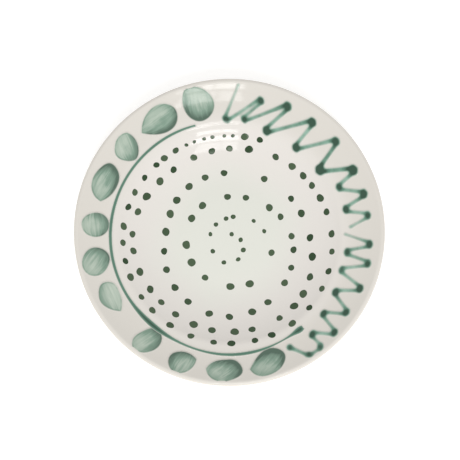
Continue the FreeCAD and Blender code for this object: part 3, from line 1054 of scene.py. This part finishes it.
# Panes of the window high over the front of the plate: name, the span of each in X and in Y in
# metres, and how bright it is beside the brightest.
WINDOW_HEIGHT = 2.0
WINDOW_PANES = (
    ("window_low_left", (-0.18, 0.18), (-2.05, -1.84), 1.0),
    ("window_low_right", (0.205, 0.79), (-2.05, -1.84), 1.0),
    ("window_middle_left", (-0.18, 0.18), (-1.65, -1.37), 1.0),
    ("window_middle_right", (0.205, 0.79), (-1.65, -1.37), 1.0),
    ("window_high_left", (-0.134, 0.115), (-1.28, -0.90), 0.5),
    ("window_high_right", (0.15, 0.586), (-1.28, -0.90), 0.5),
)


def window_pane(name, x_range, y_range, radiance):
    """One bright pane that the glaze mirrors, facing down."""
    width, depth = (high - low for low, high in (x_range, y_range))
    bpy.ops.object.light_add(type="AREA",
                             location=(sum(x_range) / 2, sum(y_range) / 2, WINDOW_HEIGHT))
    pane = bpy.context.object
    pane.name = name
    pane.data.shape = "RECTANGLE"
    pane.data.size, pane.data.size_y = width, depth
    pane.data.energy = radiance * math.pi * width * depth
    pane.visible_camera = False


def pale_floor_paint():
    """Matt white paper, lit from below like a light table, so it stays white round the plate."""
    stage = settings()[3]
    material, tree = new_material("pale_floor_paper")
    grain = noise(tree, object_place(tree), 300 * MM)
    pale = tuple(stage.floor_colour)
    base = ramp(tree, grain, ((0.0, tuple(0.99 * c for c in pale[:3]) + (1,)), (1.0, pale)))
    shader = add(tree, "ShaderNodeBsdfPrincipled", links={"Base Color": base},
                 values={"Roughness": 0.95, "Emission Color": (1, 1, 1, 1),
                         "Emission Strength": 0.32})
    add(tree, "ShaderNodeOutputMaterial", links={"Surface": shader.outputs["BSDF"]})
    return material


class PLATE_OT_stage(bpy.types.Operator):
    """Set the floor, the lights and the camera"""
    bl_idname = "plate.stage"
    bl_label = "Stage"

    def execute(self, context):
        stage = settings()[3]
        bpy.ops.object.select_all(action="DESELECT")
        bpy.ops.mesh.primitive_plane_add(size=stage.floor_size, location=(0, 0, 0))
        floor = bpy.context.object
        floor.name = "floor"
        floor.data.materials.append(pale_floor_paint())
        world = bpy.data.worlds.new("white_room")
        context.scene.world = world
        world.use_nodes = True
        background = world.node_tree.nodes["Background"]
        background.inputs["Color"].default_value = (1.0, 0.995, 0.985, 1)
        background.inputs["Strength"].default_value = stage.sky_strength
        front_soft_box(stage.key_power)
        for name, x_range, y_range, share in WINDOW_PANES:
            window_pane(name, x_range, y_range, share * stage.window_glow)
        bpy.ops.object.camera_add()
        camera = context.object
        camera.data.lens = stage.lens
        camera.data.sensor_width = 36
        camera.data.clip_end = 50
        aim = Vector(stage.aim)
        back = Vector((0, -math.cos(stage.camera_elevation), math.sin(stage.camera_elevation)))
        camera.location = aim + back * stage.camera_distance
        aim_at(camera, aim)
        context.scene.camera = camera
        context.scene.view_settings.view_transform = "Standard"
        return {"FINISHED"}


class PLATE_PT_panel(bpy.types.Panel):
    """Everything that the plate is made of"""
    bl_label = "Painted Plate"
    bl_idname = "PLATE_PT_panel"
    bl_space_type = "VIEW_3D"
    bl_region_type = "UI"
    bl_category = "Plate"

    def draw(self, context):
        for operator in OPERATORS:
            self.layout.operator(operator.bl_idname)
        for group in ("plate_form", "plate_glaze", "plate_paint", "plate_stage"):
            box = self.layout.box()
            values = getattr(context.scene, group)
            for name in values.__annotations__:
                box.prop(values, name)


GROUPS = {"plate_form": PlateForm, "plate_glaze": PlateGlaze, "plate_paint": PlatePaint,
          "plate_stage": PlateStage}
OPERATORS = (PLATE_OT_stage, PLATE_OT_clay, PLATE_OT_glaze, PLATE_OT_dots, PLATE_OT_petals,
             PLATE_OT_zigzag, PLATE_OT_line)


def register():
    for kind in (*GROUPS.values(), *OPERATORS, PLATE_PT_panel):
        bpy.utils.register_class(kind)
    for name, group in GROUPS.items():
        setattr(bpy.types.Scene, name, PointerProperty(type=group))


def unregister():
    for name in GROUPS:
        delattr(bpy.types.Scene, name)
    for kind in reversed((*GROUPS.values(), *OPERATORS, PLATE_PT_panel)):
        bpy.utils.unregister_class(kind)


def main():
    register()
    for operator in OPERATORS:
        getattr(bpy.ops.plate, operator.bl_idname.split(".")[1])()


if __name__ == "__main__":
    main()
